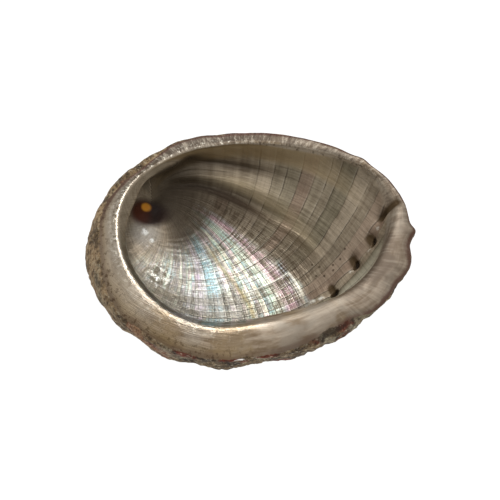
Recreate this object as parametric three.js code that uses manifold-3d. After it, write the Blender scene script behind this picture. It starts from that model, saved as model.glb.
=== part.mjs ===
// Abalone shell, one piece of grown shell, lying on its back with the open side up.
// Millimetres, +Z up, +X towards the front end with the open breathing holes,
// +Y towards the thin outer lip, -Y towards the broad inner lip.
// The origin is on the surface that the shell rests on, under the middle of its outline.
import * as THREE from 'three';
import { mergeVertices } from 'three/addons/utils/BufferGeometryUtils.js';
import Module from 'manifold-3d';

// Driving dimensions.
// Every ring of the shell is a closed curve round the vertical axis. It is given by its
// radius and height every 30 degrees, or every 15 degrees where 24 values stand,
// counter-clockwise seen from above, starting at the front end.
const BED = {
  radius: [16, 16, 15, 14, 15, 17, 17, 16, 15, 14, 14, 15],
  height: [5.2, 5.8, 5.8, 5.6, 5.4, 5.2, 4.8, 4.6, 4.6, 4.6, 4.5, 4.7],
};
const FLOOR = {
  radius: [31, 32, 29, 27, 29, 35, 34, 32, 30, 27, 26, 27],
  height: [8.6, 11.6, 11.1, 10.6, 9.6, 8.1, 7, 6.5, 6.5, 6.3, 6.2, 6.6],
};
const FOOT = {
  radius: [46, 49, 42.5, 39, 42.5, 52, 56.5, 52.5, 46.5, 40.5, 39, 39.8],
  height: [19, 24, 22.5, 22, 20, 15.5, 14.5, 15.5, 16, 15.5, 14.5, 15.5],
};
const WALL = {
  radius: [53, 58.5, 49.5, 45.8, 49.2, 59, 63, 59, 51, 44.5, 43, 46.5],
  height: [28, 32, 31, 30, 30, 27, 27, 27, 27, 27, 26, 26],
};
const LEDGE = {
  radius: [56.2, 62, 51.5, 47.5, 50.5, 53, 52.1, 47, 41.2, 35.3, 36.1, 45.4],
  height: [35.5, 37.5, 37.5, 37.5, 37.5, 37.3, 37, 36.5, 36.5, 36.5, 36, 35.5],
};
const CREST = {
  radius: [58.1, 64.5, 63, 57.3, 52.4, 49.3, 48.3, 49, 51.4, 54.2, 57.3, 57.6,
    55.4, 52.9, 50.3, 48, 45.5, 42.7, 40, 39.1, 40.1, 42.9, 48.2, 53.3],
  height: [40, 39.8, 39.8, 39.8, 39.8, 40, 40.5, 40.5, 40.5, 40.5, 40.5, 40.5],
};
const EDGE = {
  radius: [67.7, 67.9, 65.3, 60.5, 56.3, 54.2, 53, 54, 57.2, 58, 60.7, 64.2,
    63.3, 63, 63, 60.2, 57.6, 55.4, 52.6, 52.2, 52.6, 55.2, 61.4, 66],
  height: [38.5, 40, 40, 40, 40, 39.5, 39, 38.5, 38, 38, 38, 38],
};
const SIDE = {
  radius: [65, 63.6, 54.6, 51, 55, 65.2, 70.2, 64.2, 55.4, 49, 53, 58],
  height: [32, 34, 34, 34, 33, 30, 28, 28, 28, 29, 30, 31],
};
const HIP = {
  radius: [51.5, 52.5, 45.5, 42, 46, 57, 63.5, 58, 51, 45, 43.5, 45],
  height: [14.5, 19.5, 18.5, 17.5, 15.5, 11.5, 11.5, 12, 12.5, 12.5, 12, 12],
};
const BELLY = {
  radius: [37, 37, 33, 30, 33, 42, 42, 39, 35, 31, 30, 32],
  height: [5.6, 7.8, 7.6, 6.8, 5.6, 3.6, 2.8, 3, 3.2, 3.2, 3, 3.2],
};
const SOLE = {
  radius: [18, 18, 16, 15, 16, 19, 19, 18, 17, 16, 15, 16],
  height: [1.2, 1.5, 1.5, 1.3, 1, 0.7, 0.6, 0.6, 0.7, 0.7, 0.6, 0.7],
};
const BOWL_MIDDLE_HEIGHT = 4.3;
const BACK_MIDDLE_HEIGHT = 0.3;
const REST_CUT_HEIGHT = 0.6;

// Middle of the finished outline, seen from above the axis of the rings.
const OUTLINE_MIDDLE = { x: -0.25, y: -0.3 };

// Points and notches of the edge, as azimuth and half width in degrees and extra radius,
// and the low waves along it.
const EDGE_FORMS = [
  [3.8, 2.2, 2], [-1.8, 2, -0.5], [-8.5, 4, 0.9], [-20, 5, -1.4], [-40, 6, -0.9], [17, 6, 0.6],
  [39, 3, 0.8], [57, 5, 0.6], [82, 4, 0.5], [98, 5, 0.5], [126, 6, 0.7],
];
const EDGE_WAVES = [{ count: 17, phase: 0, reach: 0.15 }, { count: 29, phase: 1, reach: 0.12 }];

// Apex of the spire, where the folds and the cords of the shell start.
const APEX = { x: -44, y: 28 };
const FOLD_TWIST = 0.52;
const CORD_TWIST = 1.6;
const TWIST_RADIUS = 50;
const FOLD_BEND = { start: 60, span: 50, angle: 14 };
const APEX_PIT = { radius: 6, depth: 1.6 };

// Growth folds inside the thin outer lip: fold angle, half width in degrees, lift in mm.
const INNER_FOLDS = [
  { angle: 24, width: 3.2, lift: 0.5 },
  { angle: 17, width: 2, lift: -0.9 },
  { angle: 9, width: 3.2, lift: 1.3 },
  { angle: 2, width: 2.4, lift: -1.1 },
  { angle: -43, width: 2.2, lift: -0.35 },
];

// Where the folds rise from and die away: ring positions, and distances from the apex.
const INNER_FOLD_SPAN = { floor: [0.6, 1.6], ledge: [4.4, 5.4], apex: [10, 22], front: [76, 92] };
const OUTER_FOLD_SPAN = { side: [7.5, 9], sole: [10.4, 11.4], spire: [14, 34] };
const OUTER_FOLD_COUNT = 15;
const OUTER_FOLD_LIFT = 0.75;
const CORD_COUNT = 13;
const OUTER_CORD_LIFT = 0.4;
const SPIRE_RADIUS = 14;
const SPIRE_LIFT = 2.7;
const SPIRE_TURN_SHARE = 0.25;
const SPIRE_START_RADIUS = 3;
const SPIRE_GROWTH_PER_TURN = 3.2;

// Breathing holes: azimuth in degrees, ring position inside and outside, half sizes.
const OPEN_PORES = [
  { azimuth: 6, inside: 3.69, outside: 8.6, along: 2.3, across: 1.6 },
  { azimuth: -1.5, inside: 2.96, outside: 9.1, along: 2.2, across: 1.5 },
  { azimuth: -18, inside: 2.66, outside: 9.5, along: 2.4, across: 1.5 },
];
const HEALED_PORES = [-42, -64, -88, -112, -136, -158];
const PORE_ROW_RING = 9.4;
const PORE_ROW_RISE = 0.8;
const PORE_ROW_SPAN = { end: [-165, -140], front: [4, 16], rise: [-12, 8] };
const PORE_RIM_RADIUS = 3.6;
const PORE_RIM_LIFT = 1.5;
const PORE_RIDGE_LIFT = 0.9;
const PORE_RIDGE_WIDTH = 0.35;
const PORE_FUNNEL_DEPTH = 0.9;

// Groove of the next hole, still forming between the holes and the edge of the lip.
const FORMING_PORE = {
  start: new THREE.Vector2(56, 15),
  end: new THREE.Vector2(62.5, 18.3),
  width: 2,
  depth: 1.6,
};

// Lip on all sides but the front end: a ridge along its crest, and a shallow hollow beside
// it. Both are given by ring position, half width and lift.
const LIP_RIDGE = { position: 6, width: 0.22, lift: 0.6 };
const LIP_HOLLOW = { position: 6.5, width: 0.3, lift: -0.5 };
const LIP_RIDGE_START = [50, 100];

// Crusted lumps on the back and on the side: azimuth, ring position, radius and lift in mm.
const LUMPS = [
  [262, 8.2, 6, 0.5], [284, 8.4, 5, 0.5], [316, 8.2, 6, 0.4], [232, 8.3, 7, 0.3],
  [205, 8.6, 8, 0.7], [176, 8.9, 6, 1.0], [128, 9.3, 7, 1.0], [96, 9.6, 6, 0.8],
  [58, 9.2, 7, 1.0], [24, 9.5, 6, 0.9], [300, 9.7, 6, 0.9], [214, 9.8, 7, 0.9],
];

// Facets.
const AZIMUTH_STEPS = 108;
const ROWS_PER_BAND = [3, 4, 5, 4, 3, 3, 4, 3, 4, 4, 3, 3];
const PORE_SIDES = 14;

const RINGS = [BED, FLOOR, FOOT, WALL, LEDGE, CREST, EDGE, SIDE, HIP, BELLY, SOLE];
const EDGE_POSITION = 7;
const DEGREE = Math.PI / 180;

const bell = (value, middle, halfWidth) => Math.exp(-(((value - middle) / halfWidth) ** 2));

const smoothStep = (value, from, to) => {
  const share = Math.min(1, Math.max(0, (value - from) / (to - from)));
  return share * share * (3 - 2 * share);
};

// Azimuth between -180 and 180 degrees.
const signedTurn = (azimuth) => ((((azimuth + 180) % 360) + 360) % 360) - 180;

// Smooth closed curve through equally spaced values round the circle.
function valueAround(values, azimuth) {
  const count = values.length;
  const turn = (((azimuth / 360) % 1) + 1) % 1;
  const place = turn * count;
  const index = Math.floor(place);
  const f = place - index;
  const [a, b, c, d] = [-1, 0, 1, 2].map((k) => values[(index + k + count) % count]);
  return b + 0.5 * f * (c - a + f * (2 * a - 5 * b + 4 * c - d + f * (3 * (b - c) + d - a)));
}

// Extra radius of the outer edge at one azimuth.
function edgeReach(azimuth) {
  const turned = signedTurn(azimuth);
  let reach = 0;
  for (const [middle, width, extra] of EDGE_FORMS) reach += extra * bell(turned, middle, width);
  for (const wave of EDGE_WAVES) reach += wave.reach * Math.sin(azimuth * DEGREE * wave.count + wave.phase);
  return reach;
}

// Radius and height of the wall at one azimuth: a smooth curve through the rings, from the
// middle of the bowl (position 0) over the edge of the lip (7) to the middle of the back (12).
function wallCurve(azimuth) {
  const radii = [0, ...RINGS.map((ring) => valueAround(ring.radius, azimuth)), 0];
  const heights = [
    BOWL_MIDDLE_HEIGHT,
    ...RINGS.map((ring) => valueAround(ring.height, azimuth)),
    BACK_MIDDLE_HEIGHT,
  ];
  radii[EDGE_POSITION] += edgeReach(azimuth);
  const knots = [0];
  for (let k = 1; k < radii.length; k += 1) {
    const step = Math.hypot(radii[k] - radii[k - 1], heights[k] - heights[k - 1]);
    knots.push(knots[k - 1] + Math.sqrt(step));
  }
  return { radii, heights, knots };
}

// Slope at one ring, from the chords on both sides of it.
function slopeAt(values, knots, k, endSlope) {
  const last = values.length - 1;
  if (k === 0) return endSlope * (values[1] - values[0]) / (knots[1] - knots[0]);
  if (k === last) return endSlope * (values[last] - values[last - 1]) / (knots[last] - knots[last - 1]);
  const before = (values[k] - values[k - 1]) / (knots[k] - knots[k - 1]);
  const after = (values[k + 1] - values[k]) / (knots[k + 1] - knots[k]);
  const across = (values[k + 1] - values[k - 1]) / (knots[k + 1] - knots[k - 1]);
  return before - across + after;
}

function pointOnWall(azimuth, position) {
  const { radii, heights, knots } = wallCurve(azimuth);
  const k = Math.min(Math.floor(position), radii.length - 2);
  const f = position - k;
  const span = knots[k + 1] - knots[k];
  const blend = (values, endSlope) =>
    (2 * f ** 3 - 3 * f ** 2 + 1) * values[k]
    + (f ** 3 - 2 * f ** 2 + f) * span * slopeAt(values, knots, k, endSlope)
    + (3 * f ** 2 - 2 * f ** 3) * values[k + 1]
    + (f ** 3 - f ** 2) * span * slopeAt(values, knots, k + 1, endSlope);
  const radius = blend(radii, 1);
  return new THREE.Vector3(
    radius * Math.cos(azimuth * DEGREE),
    radius * Math.sin(azimuth * DEGREE),
    blend(heights, 0),
  );
}

// Direction that points out of the shell's material.
function outwardAt(azimuth, position) {
  const nudge = 0.04;
  const low = Math.max(nudge, position - nudge);
  const high = Math.min(12 - nudge, position + nudge);
  const along = pointOnWall(azimuth, high).sub(pointOnWall(azimuth, low));
  const middle = (low + high) / 2;
  const around = pointOnWall(azimuth + 1, middle).sub(pointOnWall(azimuth - 1, middle));
  return around.cross(along).normalize().negate();
}

// Place among the growth folds and among the cords, both seen from the apex, in degrees.
function growthPlace(x, y) {
  const dx = x - APEX.x;
  const dy = y - APEX.y;
  const reach = Math.max(2, Math.hypot(dx, dy));
  const angle = Math.atan2(dy, dx) / DEGREE;
  const spread = Math.log(reach / TWIST_RADIUS);
  const bend = FOLD_BEND.angle * Math.max(0, (reach - FOLD_BEND.start) / FOLD_BEND.span) ** 2;
  return {
    reach,
    angle,
    fold: angle + FOLD_TWIST / DEGREE * spread + bend,
    cord: angle - CORD_TWIST / DEGREE * spread,
  };
}

const poreMouths = OPEN_PORES.map((pore) => ({
  ...pore,
  inner: pointOnWall(pore.azimuth, pore.inside),
  outer: pointOnWall(pore.azimuth, pore.outside),
}));
const healedMouths = HEALED_PORES.map((azimuth) => pointOnWall(azimuth, PORE_ROW_RING));
const lumpPlaces = LUMPS.map(([azimuth, position, radius, lift]) => ({
  middle: pointOnWall(azimuth, position),
  radius,
  lift,
}));

// Lift of the inner face above the smooth wall.
function innerRelief(point, position, azimuth) {
  const { reach, fold } = growthPlace(point.x, point.y);
  const span = INNER_FOLD_SPAN;
  const fade = smoothStep(position, ...span.floor) * (1 - smoothStep(position, ...span.ledge))
    * smoothStep(reach, ...span.apex) * (1 - smoothStep(reach, ...span.front));
  let lift = 0;
  for (const ridge of INNER_FOLDS) lift += fade * ridge.lift * bell(fold, ridge.angle, ridge.width);
  for (const pore of poreMouths) {
    lift -= PORE_FUNNEL_DEPTH * bell(point.distanceTo(pore.inner), 0, PORE_RIM_RADIUS);
  }
  const place = new THREE.Vector2(point.x, point.y);
  const run = FORMING_PORE.end.clone().sub(FORMING_PORE.start);
  const share = place.clone().sub(FORMING_PORE.start).dot(run) / run.lengthSq();
  run.multiplyScalar(Math.min(1, Math.max(0, share))).add(FORMING_PORE.start);
  lift -= FORMING_PORE.depth * bell(place.distanceTo(run), 0, FORMING_PORE.width);
  const onLip = smoothStep(Math.abs(signedTurn(azimuth)), ...LIP_RIDGE_START);
  for (const form of [LIP_RIDGE, LIP_HOLLOW]) {
    lift += onLip * form.lift * bell(position, form.position, form.width);
  }
  return lift - APEX_PIT.depth * bell(reach, 0, APEX_PIT.radius);
}

// Lift of the back above the smooth wall: growth folds, cords, a spire of two low turns,
// raised rims round the holes, healed holes and crusted lumps.
function outerRelief(point, position, azimuth) {
  const { reach, angle, fold, cord } = growthPlace(point.x, point.y);
  const span = OUTER_FOLD_SPAN;
  const fade = smoothStep(position, ...span.side) * (1 - smoothStep(position, ...span.sole))
    * smoothStep(reach, ...span.spire);
  let lift = fade * OUTER_FOLD_LIFT * Math.cos(fold * DEGREE * OUTER_FOLD_COUNT);
  lift += fade * OUTER_CORD_LIFT * Math.cos(cord * DEGREE * CORD_COUNT);
  const coil = Math.log(reach / SPIRE_START_RADIUS) / Math.log(SPIRE_GROWTH_PER_TURN);
  const ridge = 1 + SPIRE_TURN_SHARE * Math.cos(2 * Math.PI * (angle / 360 - coil));
  lift += SPIRE_LIFT * ridge * bell(reach, 0, SPIRE_RADIUS);
  const turned = signedTurn(azimuth);
  const row = smoothStep(turned, ...PORE_ROW_SPAN.end) * (1 - smoothStep(turned, ...PORE_ROW_SPAN.front));
  const rowPlace = PORE_ROW_RING - PORE_ROW_RISE * smoothStep(turned, ...PORE_ROW_SPAN.rise);
  lift += PORE_RIDGE_LIFT * row * bell(position, rowPlace, PORE_RIDGE_WIDTH);
  for (const pore of poreMouths) {
    lift += PORE_RIM_LIFT * bell(point.distanceTo(pore.outer), 0, PORE_RIM_RADIUS);
  }
  for (const mouth of healedMouths) lift += PORE_RIM_LIFT * bell(point.distanceTo(mouth), 0, PORE_RIM_RADIUS);
  for (const lump of lumpPlaces) lift += lump.lift * bell(point.distanceTo(lump.middle), 0, lump.radius);
  return lift;
}

function shellPoint(azimuth, position) {
  const point = pointOnWall(azimuth, position);
  const isBack = position > EDGE_POSITION;
  const relief = isBack ? outerRelief : innerRelief;
  return point.addScaledVector(outwardAt(azimuth, position), relief(point, position, azimuth));
}

// Closed skin of the shell: rows of points round the axis, closed by a fan at both middles.
function shellSkin() {
  const rows = [];
  ROWS_PER_BAND.forEach((steps, band) => {
    for (let step = band === 0 ? 1 : 0; step < steps; step += 1) rows.push(band + step / steps);
  });
  const positions = [0, 0, BOWL_MIDDLE_HEIGHT, 0, 0, BACK_MIDDLE_HEIGHT];
  rows.forEach((position) => {
    for (let step = 0; step < AZIMUTH_STEPS; step += 1) {
      positions.push(...shellPoint((step * 360) / AZIMUTH_STEPS, position).toArray());
    }
  });
  const at = (row, step) => 2 + row * AZIMUTH_STEPS + (step % AZIMUTH_STEPS);
  const last = rows.length - 1;
  const faces = [];
  for (let step = 0; step < AZIMUTH_STEPS; step += 1) {
    faces.push(0, at(0, step), at(0, step + 1));
    faces.push(1, at(last, step + 1), at(last, step));
    for (let row = 0; row < last; row += 1) {
      faces.push(at(row, step), at(row + 1, step), at(row + 1, step + 1));
      faces.push(at(row, step), at(row + 1, step + 1), at(row, step + 1));
    }
  }
  const skin = new THREE.BufferGeometry();
  skin.setAttribute('position', new THREE.Float32BufferAttribute(positions, 3));
  skin.setIndex(faces);
  return skin;
}

// Oval bar that leaves a breathing hole when it is cut from the wall.
function poreCutter(pore) {
  const reach = 5;
  const axis = pore.outer.clone().sub(pore.inner);
  const length = axis.length() + 2 * reach;
  axis.normalize();
  const oval = new THREE.Shape();
  oval.absellipse(0, 0, pore.across, pore.along, 0, 2 * Math.PI);
  const bar = new THREE.ExtrudeGeometry(oval, {
    depth: length,
    bevelEnabled: false,
    curveSegments: PORE_SIDES,
  });
  const alongRow = new THREE.Vector3(-Math.sin(pore.azimuth * DEGREE), Math.cos(pore.azimuth * DEGREE), 0);
  const across = alongRow.clone().cross(axis).normalize();
  const turned = new THREE.Matrix4().makeBasis(across, axis.clone().cross(across), axis);
  bar.applyMatrix4(turned);
  const start = pore.inner.clone().addScaledVector(axis, -reach);
  return bar.translate(start.x, start.y, start.z);
}

// Block under the back, whose upper face wears the shell flat where it rests.
function wearBlock() {
  const size = 200;
  return new THREE.BoxGeometry(size, size, size).translate(0, 0, REST_CUT_HEIGHT - size / 2);
}

const wasm = await Module();
wasm.setup();

function toSolid(geometry) {
  const bare = geometry.clone();
  bare.deleteAttribute('normal');
  bare.deleteAttribute('uv');
  const merged = mergeVertices(bare, 1e-4);
  return new wasm.Manifold(new wasm.Mesh({
    numProp: 3,
    vertProperties: new Float32Array(merged.attributes.position.array),
    triVerts: new Uint32Array(merged.index.array),
  }));
}

function toGeometry(solid) {
  const mesh = solid.getMesh();
  const geometry = new THREE.BufferGeometry();
  geometry.setAttribute('position', new THREE.BufferAttribute(new Float32Array(mesh.vertProperties), 3));
  geometry.setIndex(new THREE.BufferAttribute(new Uint32Array(mesh.triVerts), 1));
  return geometry;
}

let shellSolid = toSolid(shellSkin());
for (const pore of poreMouths) shellSolid = shellSolid.subtract(toSolid(poreCutter(pore)));
shellSolid = shellSolid.subtract(toSolid(wearBlock()));

const shellGeometry = toGeometry(shellSolid)
  .translate(-OUTLINE_MIDDLE.x, -OUTLINE_MIDDLE.y, -REST_CUT_HEIGHT);
shellGeometry.computeVertexNormals();
const nacre = new THREE.MeshStandardMaterial({ color: 0xa39a84, roughness: 0.32, metalness: 0.1 });
const shell = new THREE.Mesh(shellGeometry, nacre);
shell.name = 'abalone_shell';

const abalone = new THREE.Group();
abalone.add(shell);

export default abalone;
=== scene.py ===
import math
import bpy
import numpy as np
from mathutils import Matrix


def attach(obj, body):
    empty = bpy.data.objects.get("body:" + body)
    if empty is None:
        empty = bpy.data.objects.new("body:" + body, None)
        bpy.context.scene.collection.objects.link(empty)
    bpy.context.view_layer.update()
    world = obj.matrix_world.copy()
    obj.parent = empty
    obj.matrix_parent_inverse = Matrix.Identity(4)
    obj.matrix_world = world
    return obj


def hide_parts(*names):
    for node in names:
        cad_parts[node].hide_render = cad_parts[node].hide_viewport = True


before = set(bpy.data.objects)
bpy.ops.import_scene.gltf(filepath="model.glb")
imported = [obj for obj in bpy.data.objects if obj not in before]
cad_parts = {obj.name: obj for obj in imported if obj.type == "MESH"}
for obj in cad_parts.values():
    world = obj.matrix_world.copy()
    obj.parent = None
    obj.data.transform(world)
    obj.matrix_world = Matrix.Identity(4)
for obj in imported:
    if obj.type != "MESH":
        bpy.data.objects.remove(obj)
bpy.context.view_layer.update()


# The view.
# The camera looks down at the shell from its inner lip side, steeply enough to see the
# whole bowl, with the front end at the right.
MM = 0.001
CAMERA_ELEVATION = math.radians(62)
CAMERA_DISTANCE = 480 * MM
CAMERA_TARGET = np.array([0.25, 0.3, 29.4]) * MM
SENSOR_WIDTH = 36.0
FOCAL_LENGTH = 80.97

camera_data = bpy.data.cameras.new("camera")
camera_data.sensor_width = SENSOR_WIDTH
camera_data.lens = FOCAL_LENGTH
camera = bpy.data.objects.new("camera", camera_data)
bpy.context.scene.collection.objects.link(camera)
camera.location = CAMERA_TARGET + CAMERA_DISTANCE * np.array(
    [0, -math.cos(CAMERA_ELEVATION), math.sin(CAMERA_ELEVATION)])
camera.rotation_euler = (math.pi / 2 - CAMERA_ELEVATION, 0, 0)
bpy.context.scene.camera = camera
bpy.context.scene.view_settings.view_transform = "Standard"


# The light and the table.
# A broad window light from behind the thin outer lip, a weak one from the front, and a
# white table that throws light back on the underside.
KEY_PLACE = (0.14, 0.44, 0.9)
KEY_SIZE = 0.3
KEY_POWER = 6.5
FILL_PLACE = (0.5, -0.8, 0.7)
FILL_SIZE = 0.9
FILL_POWER = 2.2
SKY_STRENGTH = 0.4
WHITE = (1.0, 1.0, 1.0, 1.0)
TABLE_SIZE = 20.0
TABLE_GREY = (0.1, 0.1, 0.1, 1.0)
TABLE_ROUGHNESS = 0.9
TABLE_GLOW = 1.0


def window_light(name, place, size, power):
    """A square lamp at a place, turned so that it faces the shell."""
    lamp = bpy.data.lights.new(name, "AREA")
    lamp.size = size
    lamp.energy = power
    holder = bpy.data.objects.new(name, lamp)
    bpy.context.scene.collection.objects.link(holder)
    holder.location = place
    holder.rotation_euler = holder.location.to_track_quat("Z", "Y").to_euler()


window_light("window", KEY_PLACE, KEY_SIZE, KEY_POWER)
window_light("room_fill", FILL_PLACE, FILL_SIZE, FILL_POWER)

sky = bpy.data.worlds.new("studio")
sky.use_nodes = True
sky_shader = sky.node_tree.nodes["Background"]
sky_shader.inputs["Color"].default_value = WHITE
sky_shader.inputs["Strength"].default_value = SKY_STRENGTH
bpy.context.scene.world = sky

table_mesh = bpy.data.meshes.new("table")
half = TABLE_SIZE / 2
table_mesh.from_pydata([(-half, -half, 0), (half, -half, 0), (half, half, 0), (-half, half, 0)],
                       [], [(0, 1, 2, 3)])
table = bpy.data.objects.new("table", table_mesh)
bpy.context.scene.collection.objects.link(table)
table_paint = bpy.data.materials.new("table_white")
table_paint.use_nodes = True
table_shader = table_paint.node_tree.nodes["Principled BSDF"]
table_shader.inputs["Base Color"].default_value = TABLE_GREY
table_shader.inputs["Roughness"].default_value = TABLE_ROUGHNESS
table_shader.inputs["Specular IOR Level"].default_value = 0.0
table_shader.inputs["Emission Color"].default_value = WHITE
table_shader.inputs["Emission Strength"].default_value = TABLE_GLOW
table_mesh.materials.append(table_paint)


# The shell.
# One piece of grown shell: pearly layers inside, laid down by the animal as it grew
# round its spire, and a rough outer crust with red-brown and pale lime growth on it.

# Its wall runs through eleven rings, from the bowl over the edge and down the back.
# Every ring is a closed curve round the upright axis, given in millimetres every 30
# degrees (or every 15 where 24 values stand), counter-clockwise from the front end.
BED = ([16, 16, 15, 14, 15, 17, 17, 16, 15, 14, 14, 15],
       [5.2, 5.8, 5.8, 5.6, 5.4, 5.2, 4.8, 4.6, 4.6, 4.6, 4.5, 4.7])
FLOOR = ([31, 32, 29, 27, 29, 35, 34, 32, 30, 27, 26, 27],
         [8.6, 11.6, 11.1, 10.6, 9.6, 8.1, 7, 6.5, 6.5, 6.3, 6.2, 6.6])
FOOT = ([46, 49, 42.5, 39, 42.5, 52, 56.5, 52.5, 46.5, 40.5, 39, 39.8],
        [19, 24, 22.5, 22, 20, 15.5, 14.5, 15.5, 16, 15.5, 14.5, 15.5])
WALL = ([53, 58.5, 49.5, 45.8, 49.2, 59, 63, 59, 51, 44.5, 43, 46.5],
        [28, 32, 31, 30, 30, 27, 27, 27, 27, 27, 26, 26])
LEDGE = ([56.2, 62, 51.5, 47.5, 50.5, 53, 52.1, 47, 41.2, 35.3, 36.1, 45.4],
         [35.5, 37.5, 37.5, 37.5, 37.5, 37.3, 37, 36.5, 36.5, 36.5, 36, 35.5])
CREST = ([58.1, 64.5, 63, 57.3, 52.4, 49.3, 48.3, 49, 51.4, 54.2, 57.3, 57.6,
          55.4, 52.9, 50.3, 48, 45.5, 42.7, 40, 39.1, 40.1, 42.9, 48.2, 53.3],
         [40, 39.8, 39.8, 39.8, 39.8, 40, 40.5, 40.5, 40.5, 40.5, 40.5, 40.5])
EDGE = ([67.7, 67.9, 65.3, 60.5, 56.3, 54.2, 53, 54, 57.2, 58, 60.7, 64.2,
         63.3, 63, 63, 60.2, 57.6, 55.4, 52.6, 52.2, 52.6, 55.2, 61.4, 66],
        [38.5, 40, 40, 40, 40, 39.5, 39, 38.5, 38, 38, 38, 38])
SIDE = ([65, 63.6, 54.6, 51, 55, 65.2, 70.2, 64.2, 55.4, 49, 53, 58],
        [32, 34, 34, 34, 33, 30, 28, 28, 28, 29, 30, 31])
HIP = ([51.5, 52.5, 45.5, 42, 46, 57, 63.5, 58, 51, 45, 43.5, 45],
       [14.5, 19.5, 18.5, 17.5, 15.5, 11.5, 11.5, 12, 12.5, 12.5, 12, 12])
BELLY = ([37, 37, 33, 30, 33, 42, 42, 39, 35, 31, 30, 32],
         [5.6, 7.8, 7.6, 6.8, 5.6, 3.6, 2.8, 3, 3.2, 3.2, 3, 3.2])
SOLE = ([18, 18, 16, 15, 16, 19, 19, 18, 17, 16, 15, 16],
        [1.2, 1.5, 1.5, 1.3, 1, 0.7, 0.6, 0.6, 0.7, 0.7, 0.6, 0.7])
RINGS = (BED, FLOOR, FOOT, WALL, LEDGE, CREST, EDGE, SIDE, HIP, BELLY, SOLE)
BOWL_MIDDLE_HEIGHT = 4.3
BACK_MIDDLE_HEIGHT = 0.3
REST_CUT_HEIGHT = 0.6
OUTLINE_MIDDLE = (-0.25, -0.3)
EDGE_POSITION = 7.0
# Points and notches of the edge: azimuth and half width in degrees, and extra radius.
EDGE_FORMS = ((3.8, 2.2, 2), (-1.8, 2, -0.5), (-8.5, 4, 0.9), (-20, 5, -1.4), (-40, 6, -0.9),
              (17, 6, 0.6), (39, 3, 0.8), (57, 5, 0.6), (82, 4, 0.5), (98, 5, 0.5), (126, 6, 0.7))
# Low waves round the edge: how many, height in millimetres and phase in radians.
EDGE_WAVES = ((17, 0.15, 0), (29, 0.12, 1))

AROUND_STEPS = 520
ROWS_PER_BAND = (20, 20, 27, 20, 13, 9, 15, 14, 18, 15, 11, 7)


def bell(value, middle, half_width):
    """A bump of height one: e to the minus square of the distance over the half width."""
    return np.exp(-((value - middle) / half_width) ** 2)


def smooth_step(value, start, stop):
    """Zero before start, one after stop, and a smooth S between them."""
    share = np.clip((value - start) / (stop - start), 0, 1)
    return share * share * (3 - 2 * share)


def signed_turn(azimuth):
    """The azimuth brought between minus 180 and 180 degrees."""
    return (azimuth + 180) % 360 - 180


def value_around(values, azimuth):
    """A closed smooth curve (Catmull-Rom) through values equally spaced round the circle."""
    values = np.asarray(values, float)
    count = len(values)
    place = (azimuth / 360 % 1) * count
    index = np.floor(place).astype(int)
    f = place - index
    a, b, c, d = (values[(index + k) % count] for k in (-1, 0, 1, 2))
    return b + 0.5 * f * (c - a + f * (2 * a - 5 * b + 4 * c - d + f * (3 * (b - c) + d - a)))


def edge_reach(azimuth):
    """Extra radius of the edge: a bell for each point and notch, and sine waves."""
    turned = signed_turn(azimuth)
    forms = sum(reach * bell(turned, middle, width) for middle, width, reach in EDGE_FORMS)
    angle = np.radians(azimuth)
    return forms + sum(height * np.sin(count * angle + phase) for count, height, phase in EDGE_WAVES)


def grain(u, v, seed):
    """Smooth random values from minus one to one: each corner of a unit lattice of u and v
    has the fraction of a large sine of its place, eased from corner to corner."""
    u0, v0 = np.floor(u), np.floor(v)

    def corner(i, j):
        mixed = np.sin((u0 + i) * 127.1 + (v0 + j) * 311.7 + seed * 74.7) * 43758.5453
        return 2 * (mixed - np.floor(mixed)) - 1

    fu, fv = u - u0, v - v0
    fu, fv = fu * fu * (3 - 2 * fu), fv * fv * (3 - 2 * fv)
    low = corner(0, 0) * (1 - fu) + corner(1, 0) * fu
    high = corner(0, 1) * (1 - fu) + corner(1, 1) * fu
    return low * (1 - fv) + high * fv


def wall_points(azimuth, position):
    """Points of the smooth wall: for each azimuth a curve through the rings, from the middle
    of the bowl (position 0) over the edge (7) to the middle of the back (12). The curve is
    cubic between rings, with slopes from the chords on both sides, and its knots are
    spaced by the square root of the distance between rings."""
    zero = np.zeros_like(azimuth)
    radii = np.array([zero, *(value_around(ring[0], azimuth) for ring in RINGS), zero])
    heights = np.array([zero + BOWL_MIDDLE_HEIGHT,
                        *(value_around(ring[1], azimuth) for ring in RINGS),
                        zero + BACK_MIDDLE_HEIGHT])
    radii[int(EDGE_POSITION)] += edge_reach(azimuth)
    steps = np.sqrt(np.hypot(np.diff(radii, axis=0), np.diff(heights, axis=0)))
    knots = np.concatenate([zero[None], np.cumsum(steps, axis=0)])

    def slopes(values, end_slope):
        chord = np.diff(values, axis=0) / np.diff(knots, axis=0)
        across = (values[2:] - values[:-2]) / (knots[2:] - knots[:-2])
        inner = chord[:-1] - across + chord[1:]
        return np.concatenate([end_slope * chord[:1], inner, end_slope * chord[-1:]])

    band = np.minimum(np.floor(position).astype(int), len(RINGS))
    f = position - band

    def pick(values, shift):
        return np.take_along_axis(values, (band + shift)[None], axis=0)[0]

    def blend(values, end_slope):
        slope = slopes(values, end_slope)
        span = pick(knots, 1) - pick(knots, 0)
        return ((2 * f**3 - 3 * f**2 + 1) * pick(values, 0)
                + (f**3 - 2 * f**2 + f) * span * pick(slope, 0)
                + (3 * f**2 - 2 * f**3) * pick(values, 1)
                + (f**3 - f**2) * span * pick(slope, 1))

    radius, height = blend(radii, 1), blend(heights, 0)
    angle = np.radians(azimuth)
    return np.stack([radius * np.cos(angle), radius * np.sin(angle), height], axis=-1)


# Growth. The folds run out from the apex and the cords run across them. Both are told
# by an angle seen from the apex, in degrees.
APEX = (-44.0, 28.0)
FOLD_TWIST = 0.52
CORD_TWIST = 1.6
TWIST_RADIUS = 50.0
FOLD_BEND = 14.0
BEND_START = 60.0
BEND_RUN = 50.0


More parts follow.
